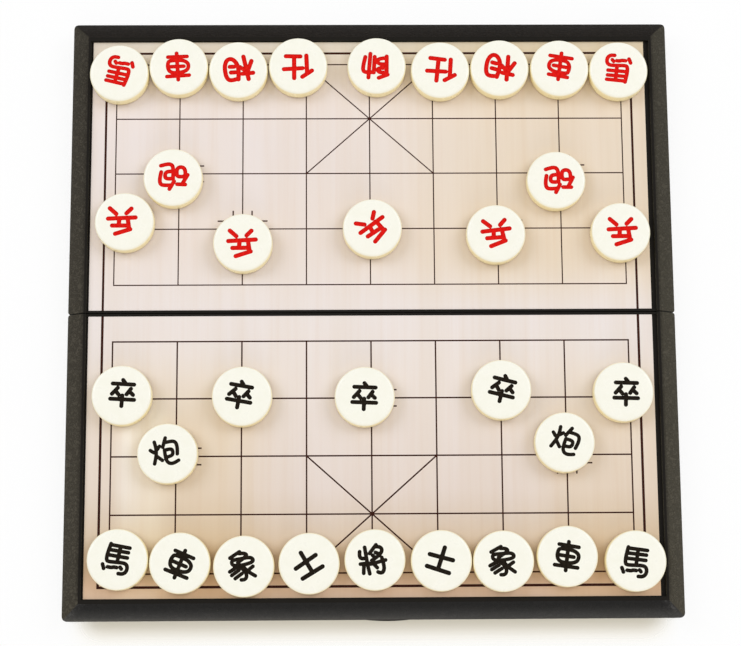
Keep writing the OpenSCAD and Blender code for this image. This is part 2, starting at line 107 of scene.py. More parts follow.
# Each mark is a width and a set of round-ended strokes of that width on a man's face, in millimetres,
# x to the right and y up.
MARKS = {
    "horse": (1.56, (
        ((-3.5, 5.6), (-3.9, 3.0), (-4.1, 0.6), (-3.9, -1.0), (-3.2, -1.5), (0.0, -1.2), (3.1, -0.9),
         (4.4, -1.4), (4.9, -2.8), (4.6, -4.3), (3.5, -5.3), (1.8, -5.4)),
        ((-3.5, 5.2), (4.2, 5.3)),
        ((-3.6, 3.2), (4.0, 3.4)),
        ((-3.7, 1.1), (4.0, 1.3)),
        ((0.5, 5.2), (0.4, -1.0)),
        ((-5.1, -2.9), (-4.3, -4.5)),
        ((-2.9, -3.6), (-1.3, -3.6), (-0.6, -3.2), (0.7, -3.2)),
        ((2.0, -2.8), (2.6, -3.4)),
    )),
    "chariot": (1.58, (
        ((-0.2, 5.7), (0.5, -5.7)),
        ((-3.8, 4.1), (4.1, 4.3)),
        ((-3.3, 2.5), (0.0, 2.7), (2.6, 2.6), (4.4, 1.6), (4.8, 0.2), (4.4, -1.3), (2.8, -2.3),
         (0.4, -2.7), (-1.9, -2.7), (-3.3, -1.9), (-3.9, -0.3), (-3.8, 1.4), (-3.3, 2.5)),
        ((-3.2, -0.1), (2.8, 0.1)),
        ((-4.2, -4.3), (5.0, -3.8)),
    )),
    "minister": (1.76, (
        ((-3.3, 4.7), (-3.8, -5.2)),
        ((-5.8, 2.6), (-1.4, 1.8)),
        ((-3.9, 1.2), (-6.5, -2.5)),
        ((-3.2, 0.9), (-1.1, -1.3)),
        ((0.8, 3.7), (0.2, 1.8), (-0.4, -0.6), (-0.4, -2.8), (0.3, -4.6), (1.3, -5.6), (2.4, -5.8),
         (3.6, -5.3), (4.8, -3.4), (5.3, -0.6), (5.3, 1.6), (4.7, 2.9), (3.4, 3.4), (1.0, 3.4)),
        ((1.3, 0.4), (3.0, 0.0)),
        ((1.2, -2.1), (2.8, -2.5)),
    )),
    "red_advisor": (1.76, (
        ((-2.9, 4.4), (-6.9, 1.8)),
        ((-4.9, 2.4), (-4.7, -4.7)),
        ((0.5, 4.9), (0.4, -4.0)),
        ((-3.0, 0.7), (4.7, 1.0)),
        ((-2.2, -4.4), (3.8, -4.6)),
    )),
    "marshal": (1.65, (
        ((-1.5, 5.1), (-5.2, 3.7)),
        ((-4.8, 3.7), (-4.8, -4.2)),
        ((-4.4, 2.8), (-1.9, 2.8), (-1.0, 1.9), (-1.4, 0.9), (-4.3, 0.8)),
        ((-4.4, -0.8), (-1.9, -0.8), (-0.8, -1.9), (-1.4, -3.1), (-4.3, -3.5)),
        ((0.6, 2.8), (0.2, -4.0)),
        ((0.6, 2.7), (4.0, 2.8), (5.1, 2.0), (4.9, -0.6), (4.1, -3.9)),
        ((2.8, 5.0), (2.0, -5.3)),
    )),
    "red_cannon": (1.6, (
        ((-5.2, 3.3), (-1.9, 3.2)),
        ((-4.0, 3.0), (-6.1, -0.8)),
        ((-4.7, -0.1), (-1.9, 0.1), (-1.5, -1.8), (-1.8, -3.6), (-3.3, -4.2), (-4.8, -3.5),
         (-5.2, -1.5), (-5.0, -0.3)),
        ((1.2, 5.3), (-0.6, 2.0)),
        ((0.6, 3.7), (4.2, 3.8), (5.2, 2.9), (5.3, 0.7), (4.8, -1.8)),
        ((0.0, 0.9), (2.8, 1.0), (3.3, -0.4), (2.7, -2.0), (0.4, -2.2)),
        ((-0.1, 0.9), (-0.2, -2.4), (0.2, -4.7), (1.5, -5.3), (3.3, -5.0), (5.0, -4.5)),
    )),
    "red_soldier": (1.75, (
        ((3.0, 5.3), (-3.2, 3.8)),
        ((-2.8, 3.9), (-2.4, -0.9)),
        ((-2.3, 2.2), (4.1, 1.8)),
        ((1.4, 1.6), (1.0, -0.9)),
        ((-5.6, -1.0), (5.6, -1.2)),
        ((-2.0, -3.0), (-4.1, -4.8)),
        ((2.2, -3.0), (4.7, -5.5)),
    )),
    "elephant": (1.52, (
        ((-0.5, 5.9), (-4.4, 3.7)),
        ((-0.6, 5.2), (1.4, 5.2), (2.4, 4.5), (1.6, 3.7), (0.2, 2.7), (-1.4, 1.6)),
        ((-3.4, 2.8), (-0.2, 3.1), (3.4, 3.5), (4.8, 2.7), (4.5, 1.5), (1.4, 0.7), (-1.8, 0.4),
         (-3.4, 0.8), (-3.9, 1.8), (-3.4, 2.8)),
        ((-1.4, 0.3), (-4.8, -1.7)),
        ((-1.2, -1.4), (-4.1, -3.2)),
        ((0.0, -2.7), (-2.8, -4.5)),
        ((-1.3, 0.4), (0.7, -1.2), (1.7, -2.8), (1.8, -4.2), (1.0, -5.2), (-0.4, -5.2)),
        ((0.9, -0.4), (2.5, -2.2), (5.2, -4.0)),
        ((4.5, -0.2), (3.1, -1.2)),
    )),
    "black_advisor": (1.78, (
        ((0.4, 5.1), (0.2, -3.7)),
        ((-4.6, 0.9), (4.9, 1.2)),
        ((-4.4, -3.9), (4.8, -4.1)),
    )),
    "general": (1.56, (
        ((-5.7, 3.2), (-5.8, 1.7), (-5.3, 0.5), (-3.5, 0.5)),
        ((-3.7, 4.9), (-3.1, 1.2), (-2.4, -2.6), (-1.7, -5.5)),
        ((-5.4, -1.7), (-2.2, -1.3)),
        ((-4.0, -1.8), (-4.1, -5.3)),
        ((0.8, 5.9), (-1.8, 2.5)),
        ((0.6, 5.2), (2.5, 5.1), (3.3, 3.9), (2.6, 2.4), (1.2, 1.1), (-0.9, -0.3)),
        ((0.6, 2.9), (1.8, 2.4)),
        ((-0.6, 1.8), (0.5, 0.8)),
        ((-1.2, -1.7), (2.0, -0.8), (4.6, -0.1)),
        ((3.1, 0.9), (3.8, -1.4), (4.1, -3.5), (3.6, -4.9), (2.6, -5.2), (1.6, -4.8)),
        ((0.3, -2.1), (1.3, -3.1)),
    )),
    "black_cannon": (1.5, (
        ((-6.4, 2.3), (-5.2, 1.2)),
        ((-4.3, 5.3), (-4.0, 2.6), (-4.4, -0.2), (-5.6, -3.3)),
        ((-2.5, 3.3), (-3.6, 2.2)),
        ((-4.0, -0.7), (-2.3, -2.5)),
        ((0.3, 6.2), (-1.3, 2.7)),
        ((0.1, 4.4), (3.2, 4.5), (4.3, 3.4), (4.4, 1.3), (4.0, -1.0)),
        ((-0.7, 1.4), (2.0, 1.5), (2.5, 0.3), (2.0, -1.2), (0.0, -1.5)),
        ((-0.8, 1.4), (-0.9, -1.7), (-0.4, -3.6), (0.8, -4.4), (2.3, -4.3), (4.1, -3.6)),
    )),
    "black_soldier": (1.68, (
        ((0.1, 5.3), (0.9, 4.3)),
        ((-4.0, 3.8), (4.6, 3.5)),
        ((-1.9, 2.1), (-4.2, -0.4)),
        ((-2.7, 0.8), (-1.4, -0.8)),
        ((3.4, 1.8), (1.7, -0.5)),
        ((2.7, 0.8), (4.3, -0.7)),
        ((-4.8, -2.4), (4.8, -2.7)),
        ((0.0, -1.0), (-0.2, -5.3)),
    )),
}

# Which mark a man bears, how far it is turned clockwise from its player's side, in degrees, and how far
# it lies to the right of the man's middle and above it, in millimetres. A program fitted these numbers to
# the photograph, except those of the left red chariot.
MEN = {
    "red_horse_left": ("horse", 14.4, 0.2, -1.0),
    "red_chariot_left": ("chariot", 179.3, -0.6, 0.0),
    "red_elephant_left": ("minister", -15.8, 0.2, 0.4),
    "red_advisor_left": ("red_advisor", -0.9, 1.2, 0.4),
    "red_general": ("marshal", 0.6, 0.6, 0.2),
    "red_advisor_right": ("red_advisor", 5.6, 0.7, -0.1),
    "red_elephant_right": ("minister", 2.5, 0.3, 0.3),
    "red_chariot_right": ("chariot", 12.2, -0.1, -0.7),
    "red_horse_right": ("horse", 6.9, 0.4, -0.6),
    "red_cannon_left": ("red_cannon", 1.2, 0.0, -0.3),
    "red_cannon_right": ("red_cannon", -1.5, -0.8, 0.0),
    "red_soldier_1": ("red_soldier", -3.4, 0.9, -0.4),
    "red_soldier_2": ("red_soldier", -4.1, 0.2, 0.2),
    "red_soldier_3": ("red_soldier", -37.3, -0.4, 0.0),
    "red_soldier_4": ("red_soldier", -7.9, -0.2, -0.3),
    "red_soldier_5": ("red_soldier", -4.2, -0.6, 0.0),
    "black_soldier_1": ("black_soldier", 1.5, 0.4, 0.9),
    "black_soldier_2": ("black_soldier", 8.4, -1.0, 0.5),
    "black_soldier_3": ("black_soldier", 0.5, -0.2, 0.1),
    "black_soldier_4": ("black_soldier", 12.3, 0.3, 0.4),
    "black_soldier_5": ("black_soldier", -0.1, 0.8, 0.0),
    "black_cannon_left": ("black_cannon", -10.4, 0.0, 0.1),
    "black_cannon_right": ("black_cannon", 19.5, 0.7, 0.0),
    "black_horse_left": ("horse", 11.6, -0.1, 0.1),
    "black_chariot_left": ("chariot", 25.1, 0.2, -0.3),
    "black_elephant_left": ("elephant", -4.0, -0.8, -0.1),
    "black_advisor_left": ("black_advisor", -32.4, -0.9, 0.2),
    "black_general": ("general", 0.1, -0.4, 0.0),
    "black_advisor_right": ("black_advisor", 17.0, -0.6, 0.2),
    "black_elephant_right": ("elephant", 1.0, -0.7, -0.2),
    "black_chariot_right": ("chariot", 11.5, -0.4, 0.0),
    "black_horse_right": ("horse", 8.6, -0.3, -0.6),
}

# Where one look of the case's plastic gives way to the next, in millimetres; past the grain's start, these
# are the edges of the light and shade painted on the slopes
WALL_FOOT = (1.0, 1.6)    # heights: the outer walls' grain starts above their foot
SIDE_FADE = (14.9, 13.0)    # painted light: the slopes grow paler downwards: at the sides
RIGHT_FADE = (14.1, 13.4)    # sooner at the right
FRONT_FADE = (13.6, 9.4)    # slower in front
LOW_LEFT_FADE = (11.0, 9.6)    # and palest low in front
LOW_LEFT_SIDE = (50.0, -20.0)    # along x, towards the left
RIGHT_SIDE = (-20.0, 20.0)    # along x, towards the right
CORNER_PATCH_FRONT = (-100.0, -118.0)    # along y, towards the front corners
CORNER_PATCH_REACH = (0.0, 4.5)    # distances off a corner's mitre
# a painted highlight along each mitre, between these distances off it
MITRE_EDGE = (0.1, 0.6)

# The sheets' tone from the front edge to the rear one, the print's wood tone with painted shade in it,
# darkest along the front edge and the front row of men and browner at the rear edge: the share of the ramp's
# length, and the colour
TONE_LENGTH = 0.24        # with the seam in its middle, in metres
BOARD_TONES_AND_SHADE = (
    (0.02, (0.73, 0.53, 0.39)),
    (0.04, (0.71, 0.50, 0.36)),
    (0.07, (0.59, 0.43, 0.29)),
    (0.12, (0.69, 0.565, 0.45)),
    (0.20, (0.77, 0.67, 0.61)),
    (0.40, (0.82, 0.74, 0.69)),
    (0.50, (0.83, 0.76, 0.73)),
    (0.62, (0.82, 0.73, 0.68)),
    (0.80, (0.82, 0.74, 0.71)),
    (0.89, (0.84, 0.75, 0.71)),
    (0.97, (0.75, 0.67, 0.57)),
)

# Paint in the marks, where it lies thick and where it is thinner
PAINTS = {
    "red": ((0.66, 0.006, 0.004), (0.78, 0.012, 0.007)),
    "black": ((0.009, 0.006, 0.003), (0.016, 0.011, 0.006)),
}

# Camera and light
CAMERA_AT = (-11.93 * MM, -127.57 * MM, 740.36 * MM)
CAMERA_TURN = math.radians(-0.881)
CAMERA_TILT = math.radians(9.613)
CAMERA_ROLL = math.radians(-0.384)
CAMERA_LENS = 87.45
CAMERA_SENSOR = 36.0
SIDE_LIGHT_AT = (2.9, 1.4, 2.8)    # one at the right, its twin at the left
SIDE_LIGHT_SIZE = 2.4
SIDE_LIGHT_POWER = 56.0
FILL_AT = (0.3, -3.1, 1.1)
FILL_SIZE = 2.0
FILL_POWER = 22.0
WORLD_LIGHT = 0.6
WORLD_TINT = (1.0, 0.95, 0.87)
SIDE_TINT = (1.0, 1.07, 1.2)
FLOOR_SIZE = 6.0
FLOOR_DROP = 0.0002
FLOOR_CLEAR = 0.9         # how clear the floor is to the camera, with the white world behind it
FRONT_CLEAR = 0.34        # the same close to the case's front edge
FLOOR_PALE = (0.95, 0.95, 0.95)
SHADE_PALE = (0.95, 0.91, 0.82)    # painted warm shade: the floor's colour along the front edge
SHADE_CLEAR = (1.0, 0.95, 0.80)    # and the warm tint painted there on the white seen through the clear floor
SHADE_FRONT = (-138.0, -124.6)    # where that shade comes in along y, in millimetres
SHADE_REAR = (0.0, -20.0)
SHADE_SIDES = (126.0, 108.0)    # and along x, to both sides
OPEN_REACH = 0.05         # how far from the floor something still closes the space in, in metres
OPEN_SAMPLES = 4
HOLLOW = (0.1, 0.3)       # openness above the floor inside a half case, and outside it
CROSSED = (0.99, 0.93)    # openness below the floor with nothing there, and with something near


# Small helpers

def look_at(obj, target):
    """Turn an object's own -Z axis to a point."""
    obj.rotation_euler = (Vector(target) - obj.location).to_track_quat("-Z", "Y").to_euler()


def new_object(name, mesh):
    obj = bpy.data.objects.new(name, mesh)
    bpy.context.scene.collection.objects.link(obj)
    return obj


def smooth_mesh(mesh, degrees):
    """Smooth shading with sharp edges where faces meet at more than that angle."""
    mesh.polygons.foreach_set("use_smooth", [True] * len(mesh.polygons))
    mesh.set_sharp_from_angle(angle=math.radians(degrees))


# Material nodes

class Nodes:
    """A material with a Principled shader, and short calls for the nodes that feed it."""

    def __init__(self, name, colour, roughness, metallic=0.0, specular=0.5):
        self.material = bpy.data.materials.new(name)
        self.material.use_nodes = True
        self.tree = self.material.node_tree
        self.shader = self.tree.nodes["Principled BSDF"]
        self.shader.inputs["Base Color"].default_value = (*colour, 1.0)
        self.shader.inputs["Roughness"].default_value = roughness
        self.shader.inputs["Metallic"].default_value = metallic
        self.shader.inputs["Specular IOR Level"].default_value = specular
        self.place = self.tree.nodes.new("ShaderNodeTexCoord")

    def link(self, source, target):
        self.tree.links.new(source, target)
        return source

    def scaled(self, scale):
        """The object's own coordinates, stretched by a scale for each axis."""
        node = self.tree.nodes.new("ShaderNodeMapping")
        node.inputs["Scale"].default_value = scale
        self.link(self.place.outputs["Object"], node.inputs["Vector"])
        return node.outputs["Vector"]

    def noise(self, scale, detail=2.0, roughness=0.5, distortion=0.0, vector=None):
        node = self.tree.nodes.new("ShaderNodeTexNoise")
        node.inputs["Scale"].default_value = scale
        node.inputs["Detail"].default_value = detail
        node.inputs["Roughness"].default_value = roughness
        node.inputs["Distortion"].default_value = distortion
        self.link(vector or self.place.outputs["Object"], node.inputs["Vector"])
        return node.outputs["Fac"]

    def axis(self, name, socket="Object"):
        """One coordinate of the place or of the surface's own normal."""
        node = self.tree.nodes.new("ShaderNodeSeparateXYZ")
        self.link(self.place.outputs[socket], node.inputs["Vector"])
        return node.outputs[name]

    def math(self, kind, a, b=None):
        node = self.tree.nodes.new("ShaderNodeMath")
        node.operation = kind
        for socket, value in zip(node.inputs, (a, b)):
            if isinstance(value, (int, float)):
                socket.default_value = value
            elif value is not None:
                self.link(value, socket)
        return node.outputs["Value"]

    def span(self, value, low, high, to_low=0.0, to_high=1.0):
        """A value brought from one range to another, smoothly and with ends held."""
        node = self.tree.nodes.new("ShaderNodeMapRange")
        node.interpolation_type = "SMOOTHSTEP"
        for name, number in (("From Min", low), ("From Max", high), ("To Min", to_low), ("To Max", to_high)):
            node.inputs[name].default_value = number
        self.link(value, node.inputs["Value"])
        return node.outputs["Result"]

    def span_mm(self, value, edges, to_low=0.0, to_high=1.0):
        """The same for a length, between two edges in millimetres."""
        low, high = (edge * MM for edge in edges)
        return self.span(value, low, high, to_low, to_high)

    def ramp(self, value, stops):
        """A colour for each value, between stops of (place, colour)."""
        node = self.tree.nodes.new("ShaderNodeValToRGB")
        ramp = node.color_ramp
        while len(ramp.elements) < len(stops):
            ramp.elements.new(0.5)
        for element, (place, colour) in zip(ramp.elements, stops):
            element.position = place
            element.color = (*colour, 1.0)
        self.link(value, node.inputs["Fac"])
        return node.outputs["Color"]

    def mix(self, share, a, b, blend="MIX"):
        """Two colours mixed. A colour is a socket or three numbers; the share a socket or a number."""
        node = self.tree.nodes.new("ShaderNodeMix")
        node.data_type = "RGBA"
        node.blend_type = blend
        if isinstance(share, (int, float)):
            node.inputs[0].default_value = share
        else:
            self.link(share, node.inputs[0])
        for socket, colour in ((node.inputs[6], a), (node.inputs[7], b)):
            if isinstance(colour, tuple):
                socket.default_value = (*colour, 1.0)
            else:
                self.link(colour, socket)
        return node.outputs[2]

    def bump(self, height, depth_mm):
        """A relief of that depth, in millimetres, from a height of 0 to 1."""
        node = self.tree.nodes.new("ShaderNodeBump")
        node.inputs["Strength"].default_value = 1.0
        node.inputs["Distance"].default_value = depth_mm * MM
        self.link(height, node.inputs["Height"])
        self.link(node.outputs["Normal"], self.shader.inputs["Normal"])

    def colour(self, source):
        self.link(source, self.shader.inputs["Base Color"])

    def rough(self, source):
        self.link(source, self.shader.inputs["Roughness"])


def grained_share(m, height):
    """Which faces are grained: the slopes, and the outer walls above their foot."""
    up = m.axis("Z", "Normal")
    slope = m.math("MULTIPLY", m.span(up, 0.45, 0.6), m.span(up, 0.945, 0.985, 1.0, 0.0))
    wall = m.math("MULTIPLY", m.span(up, -0.25, -0.1), m.span(up, 0.1, 0.25, 1.0, 0.0))
    outer = m.math("MULTIPLY", wall, m.span_mm(height, WALL_FOOT))
    return m.math("MAXIMUM", slope, outer)


def painted_light_share(m, height, right, forward, cell):
    """How pale the grained plastic is, as painted light: by height at the sides and on the front, more on the
    mitres as a painted highlight, and in patches near the front corners."""
    sideways = m.span(m.math("ABSOLUTE", m.axis("X", "Normal")), 0.2, 0.4)
    fade = m.math("MAXIMUM", m.span_mm(height, SIDE_FADE),
                  m.math("MULTIPLY", right, m.span_mm(height, RIGHT_FADE)))
    side = m.math("MULTIPLY", sideways, fade)
    front = m.math("MULTIPLY", forward, m.span_mm(height, FRONT_FADE, 0.08, 1.0))
    off_mitre = m.math("ABSOLUTE", corner_line(m))
    # painted highlight along the mitres
    mitre = m.span_mm(off_mitre, MITRE_EDGE, 0.35, 0.0)
    # the slopes paler in patches near the front corners
    corner = m.span_mm(off_mitre, CORNER_PATCH_REACH, 0.9, 0.0)
    corner_patch = m.math("MULTIPLY", corner, m.span_mm(m.axis("Y"), CORNER_PATCH_FRONT))
    corner_patch = m.math("MULTIPLY", corner_patch, m.span(cell, 0.3, 0.7))
    return m.math("ADD", m.math("MAXIMUM", mitre, m.math("MAXIMUM", side, front)), corner_patch)


def painted_light_plastic(m, grain, height, right, forward):
    """The pale end of the grained plastic, as painted light and shade: warmer at the right, darker to the
    rear, greyer in front and palest low on the front's left part."""
    pale = m.mix(grain, (0.036, 0.031, 0.022), (0.078, 0.069, 0.051))
    # painted light: the right slope paler and warmer
    pale = m.mix(m.math("MULTIPLY", right, 0.2), pale, (0.105, 0.098, 0.070))
    # painted shade: darker towards the rear
    pale = m.mix(m.span(m.axis("Y"), 0.12, -0.12), m.mix(0.2, pale, (0.0, 0.0, 0.0)), pale)
    pale = m.mix(forward, pale, m.mix(grain, (0.054, 0.053, 0.051), (0.068, 0.067, 0.065)))
    # painted light: palest low on the front slope's left part
    low_left = m.math("MULTIPLY", m.span_mm(m.axis("X"), LOW_LEFT_SIDE),
                      m.span_mm(height, LOW_LEFT_FADE))
    return m.mix(m.math("MULTIPLY", low_left, forward), pale, (0.084, 0.081, 0.075))


def case_plastic():
    """Black moulded plastic. The slopes and the outer walls are grained, with light and shade painted on the
    slopes: palest at the sides, fading upwards on the front one, dark on the rear one. The rest is smooth and
    near black."""
    m = Nodes("case_plastic", (0.02, 0.018, 0.015), 0.5, specular=0.08)
    height = m.axis("Z")
    grained = grained_share(m, height)
    cell = m.noise(560.0, 2.0, 0.5, 1.4)
    ridge = m.span(m.math("ABSOLUTE", m.math("SUBTRACT", cell, 0.5)), 0.0, 0.13)
    fine = m.noise(2600.0, 2.0)
    grain = m.math("ADD", m.math("MULTIPLY", ridge, 0.7), m.math("MULTIPLY", fine, 0.3))
    m.bump(m.math("MULTIPLY", grain, m.span(grained, 0.0, 1.0, 0.1, 1.0)), 0.25)
    right = m.span_mm(m.axis("X"), RIGHT_SIDE)
    forward = m.span(m.axis("Y", "Normal"), -0.4, -0.2, 1.0, 0.0)
    dark = m.mix(grain, (0.008, 0.006, 0.0045), (0.0155, 0.012, 0.009))
    dark = m.mix(forward, dark, (0.0125, 0.012, 0.0115))
    pale = painted_light_plastic(m, grain, height, right, forward)
    share = painted_light_share(m, height, right, forward, cell)
    m.colour(m.mix(grained, (0.010, 0.0085, 0.0065), m.mix(share, dark, pale)))
    m.rough(m.span(grained, 0.0, 1.0, 0.4, 0.55))
    return m.material


def corner_line(m):
    """How far a place lies off the mitre between a slope at the side and one at the front or the rear."""
    across = m.math("SUBTRACT", CASE_HALF_WIDE * MM, m.math("ABSOLUTE", m.axis("X")))
    along = m.math("SUBTRACT", CASE_HALF_DEEP * MM, m.math("ABSOLUTE", m.axis("Y")))
    return m.math("SUBTRACT", across, along)


def latch_plastic():
    """The latch's black plastic, with a finer grain than the case's."""
    m = Nodes("latch_plastic", (0.018, 0.016, 0.014), 0.42, specular=0.15)
    fine = m.noise(1500.0, 3.0, 0.6)
    m.colour(m.mix(m.span(fine, 0.35, 0.7), (0.014, 0.012, 0.011), (0.032, 0.029, 0.025)))
    m.rough(m.span(fine, 0.3, 0.7, 0.36, 0.5))
    m.bump(fine, 0.05)
    return m.material


def rolled_steel():
    """Thin steel sheet, with the fine lengthwise streaks of the rolling."""
    m = Nodes("rolled_steel", (0.42, 0.42, 0.43), 0.36, metallic=1.0)
    streak = m.noise(1.0, 3.0, 0.6, vector=m.scaled((60.0, 2600.0, 60.0)))
    blotch = m.noise(55.0, 3.0)
    m.colour(m.mix(m.span(blotch, 0.3, 0.75), (0.47, 0.47, 0.48), (0.36, 0.355, 0.35)))
    m.rough(m.span(streak, 0.25, 0.75, 0.28, 0.46))
    m.bump(streak, 0.01)
    return m.material


def pin_steel():
    """Drawn steel wire, with scratches that run along it and a few darker spots."""
    m = Nodes("pin_steel", (0.5, 0.5, 0.51), 0.3, metallic=1.0)
    drawn = m.noise(1.0, 3.0, 0.6, vector=m.scaled((90.0, 5200.0, 5200.0)))
    spots = m.noise(420.0, 3.0, 0.6)
    m.colour(m.mix(m.span(spots, 0.55, 0.75), (0.52, 0.52, 0.53), (0.30, 0.28, 0.26)))
    m.rough(m.span(drawn, 0.25, 0.75, 0.22, 0.42))
    m.bump(drawn, 0.012)
    return m.material


def board_paper():
    """Pale printed sheet: a rosy wood tone with faint bands along the case, browner to the outer edges,
    partly in the print and partly as painted shade.
    """
    m = Nodes("board_paper", (0.82, 0.74, 0.67), 0.42, specular=0.45)
    along = m.axis("Y")
    # painted shade: the ramp darkens where the rims and the rows of men shade the sheets
    tone = m.ramp(m.math("ADD", m.math("MULTIPLY", along, 1.0 / TONE_LENGTH), 0.5), BOARD_TONES_AND_SHADE)
    wide = m.noise(1.0, 3.0, 0.55, 0.6, m.scaled((70.0, 4.5, 1.0)))
    narrow = m.noise(1.0, 4.0, 0.6, 0.3, m.scaled((420.0, 9.0, 1.0)))
    tone = m.mix(warm_share(m, along), tone, (0.97, 0.92, 0.78), "MULTIPLY")
    # painted light on the front sheet's leftmost column
    tone = m.mix(painted_light_column(m, along), tone, (1.13, 1.20, 1.24), "MULTIPLY")
    tinted = m.mix(m.span(wide, 0.35, 0.68, 0.0, 0.85), tone, (0.97, 0.95, 0.91), "MULTIPLY")
    m.colour(m.mix(m.span(narrow, 0.4, 0.75, 0.0, 0.7), tinted, (0.97, 0.94, 0.91), "MULTIPLY"))
    m.rough(m.span(narrow, 0.3, 0.7, 0.38, 0.46))
    m.bump(m.noise(2400.0, 2.0), 0.004)
    return m.material


def painted_light_column(m, along):
    """Where painted light makes the front sheet paler: in its leftmost column, less in the margin beside it.
    """
    across = m.axis("X")
    column = m.math("MULTIPLY", m.span(across, -78.0 * MM, -90.0 * MM), m.span(along, -30.0 * MM, -46.0 * MM))
    return m.math("MULTIPLY", column, m.span(across, -106.0 * MM, -99.0 * MM, 0.1, 1.0))


def warm_share(m, along):
    """How warm the sheets' tone is across the board: more to the right on the rear sheet, more at both
    sides on the front one."""
    across = m.axis("X")
    rear = m.span(across, -30.0 * MM, 60.0 * MM)
    front_left = m.span(across, -105.0 * MM, -75.0 * MM, 0.45, 1.0)
    front_left = m.math("MULTIPLY", front_left, m.span(across, -30.0 * MM, -65.0 * MM))
    front = m.math("MAXIMUM", front_left, m.span(across, 55.0 * MM, 85.0 * MM, 0.0, 0.7))
    rear = m.math("MULTIPLY", rear, m.span(along, -5.0 * MM, 25.0 * MM))
    front = m.math("MULTIPLY", front, m.span(along, -10.0 * MM, -45.0 * MM))
    return m.math("MAXIMUM", rear, front)


def board_ink():
    """Dark brown printing ink, a little uneven in its cover."""
    m = Nodes("board_ink", (0.03, 0.012, 0.009), 0.45, specular=0.06)
    cover = m.noise(1700.0, 3.0, 0.6)
    m.colour(m.mix(m.span(cover, 0.35, 0.7), (0.026, 0.007, 0.0045), (0.056, 0.016, 0.010)))
    m.rough(m.span(cover, 0.3, 0.7, 0.4, 0.5))
    return m.material


def man_ivory():
    """Ivory moulded plastic: a clean pale face, and a satin side painted yellower for the light glowing
    through the plastic and bouncing off the board, with painted shade darkening it at the foot.
    """
    m = Nodes("man_ivory", (0.92, 0.92, 0.82), 0.3, specular=0.45)
    side = m.span(m.axis("Z", "Normal"), 0.2, 0.85, 1.0, 0.0)
    cloud = m.noise(260.0, 3.0, 0.5)
    face = m.mix(m.span(cloud, 0.35, 0.7), (0.935, 0.925, 0.825), (0.915, 0.905, 0.795))
    # painted light: the side yellower than the face, for the glow through the plastic and the warm bounce off
    # the board
    flank = m.mix(m.span(cloud, 0.35, 0.7), (0.95, 0.85, 0.52), (0.93, 0.81, 0.47))
    # painted shade: the side darkens towards the foot
    flank = m.mix(m.span(m.axis("Z"), 14.8 * MM, 12.8 * MM), flank, (0.48, 0.35, 0.15))
    m.colour(m.mix(side, face, flank))
    m.rough(m.span(cloud, 0.3, 0.7, 0.26, 0.36))
    m.bump(m.noise(2600.0, 2.0, 0.5), 0.006)
    return m.material


def mark_paint(name, deep, bright):
    """Thick gloss paint in the sunk marks, with slightly thinner places."""
    m = Nodes(name, bright, 0.28, specular=0.06)
    cover = m.noise(1100.0, 3.0, 0.6)
    m.colour(m.mix(m.span(cover, 0.35, 0.7), deep, bright))
    m.rough(m.span(cover, 0.3, 0.7, 0.22, 0.38))
    m.bump(m.noise(700.0, 2.0), 0.03)
    return m.material


def magnet_ferrite():
    """Dark sintered magnet, fine-grained, with brighter rubbed places."""
    m = Nodes("magnet_ferrite", (0.06, 0.06, 0.065), 0.5, metallic=0.4)
    grit = m.noise(2100.0, 3.0, 0.6)
    m.colour(m.mix(m.span(grit, 0.45, 0.75), (0.045, 0.045, 0.05), (0.13, 0.13, 0.14)))
    m.rough(m.span(grit, 0.3, 0.7, 0.42, 0.62))
    m.bump(grit, 0.03)
    return m.material


# Printed board sheets

def bar(x0, y0, x1, y1, width):
    """A straight printed line: its middle, its direction and its half sizes."""
    along = Vector((x1 - x0, y1 - y0))
    return Vector((x0 + x1, y0 + y1)) / 2, along.normalized(), along.length / 2, width / 2


def bar_corners(one):
    middle, along, half_long, half_wide = one
    across = Vector((-along.y, along.x))
    return [middle + along * a + across * b for a, b in (
        (-half_long, -half_wide), (half_long, -half_wide), (half_long, half_wide), (-half_long, half_wide))]


def point_ticks(x, y, reach_left, reach_right):
    """The corner marks round a point, on the sides that lie on the board."""
    bars = []
    for sx in [s for s, there in ((-1, reach_left), (1, reach_right)) if there]:
        for sy in (-1, 1):
            corner_x = x + sx * TICK_X
            corner_y = y + sy * TICK_Y
            past = TICK_LINE / 2
            bars.append(bar(corner_x - sx * past, corner_y, corner_x + sx * TICK_LONG_X, corner_y, TICK_LINE))
            bars.append(bar(corner_x, corner_y - sy * past, corner_x, corner_y + sy * TICK_LONG_Y, TICK_LINE))
    return bars


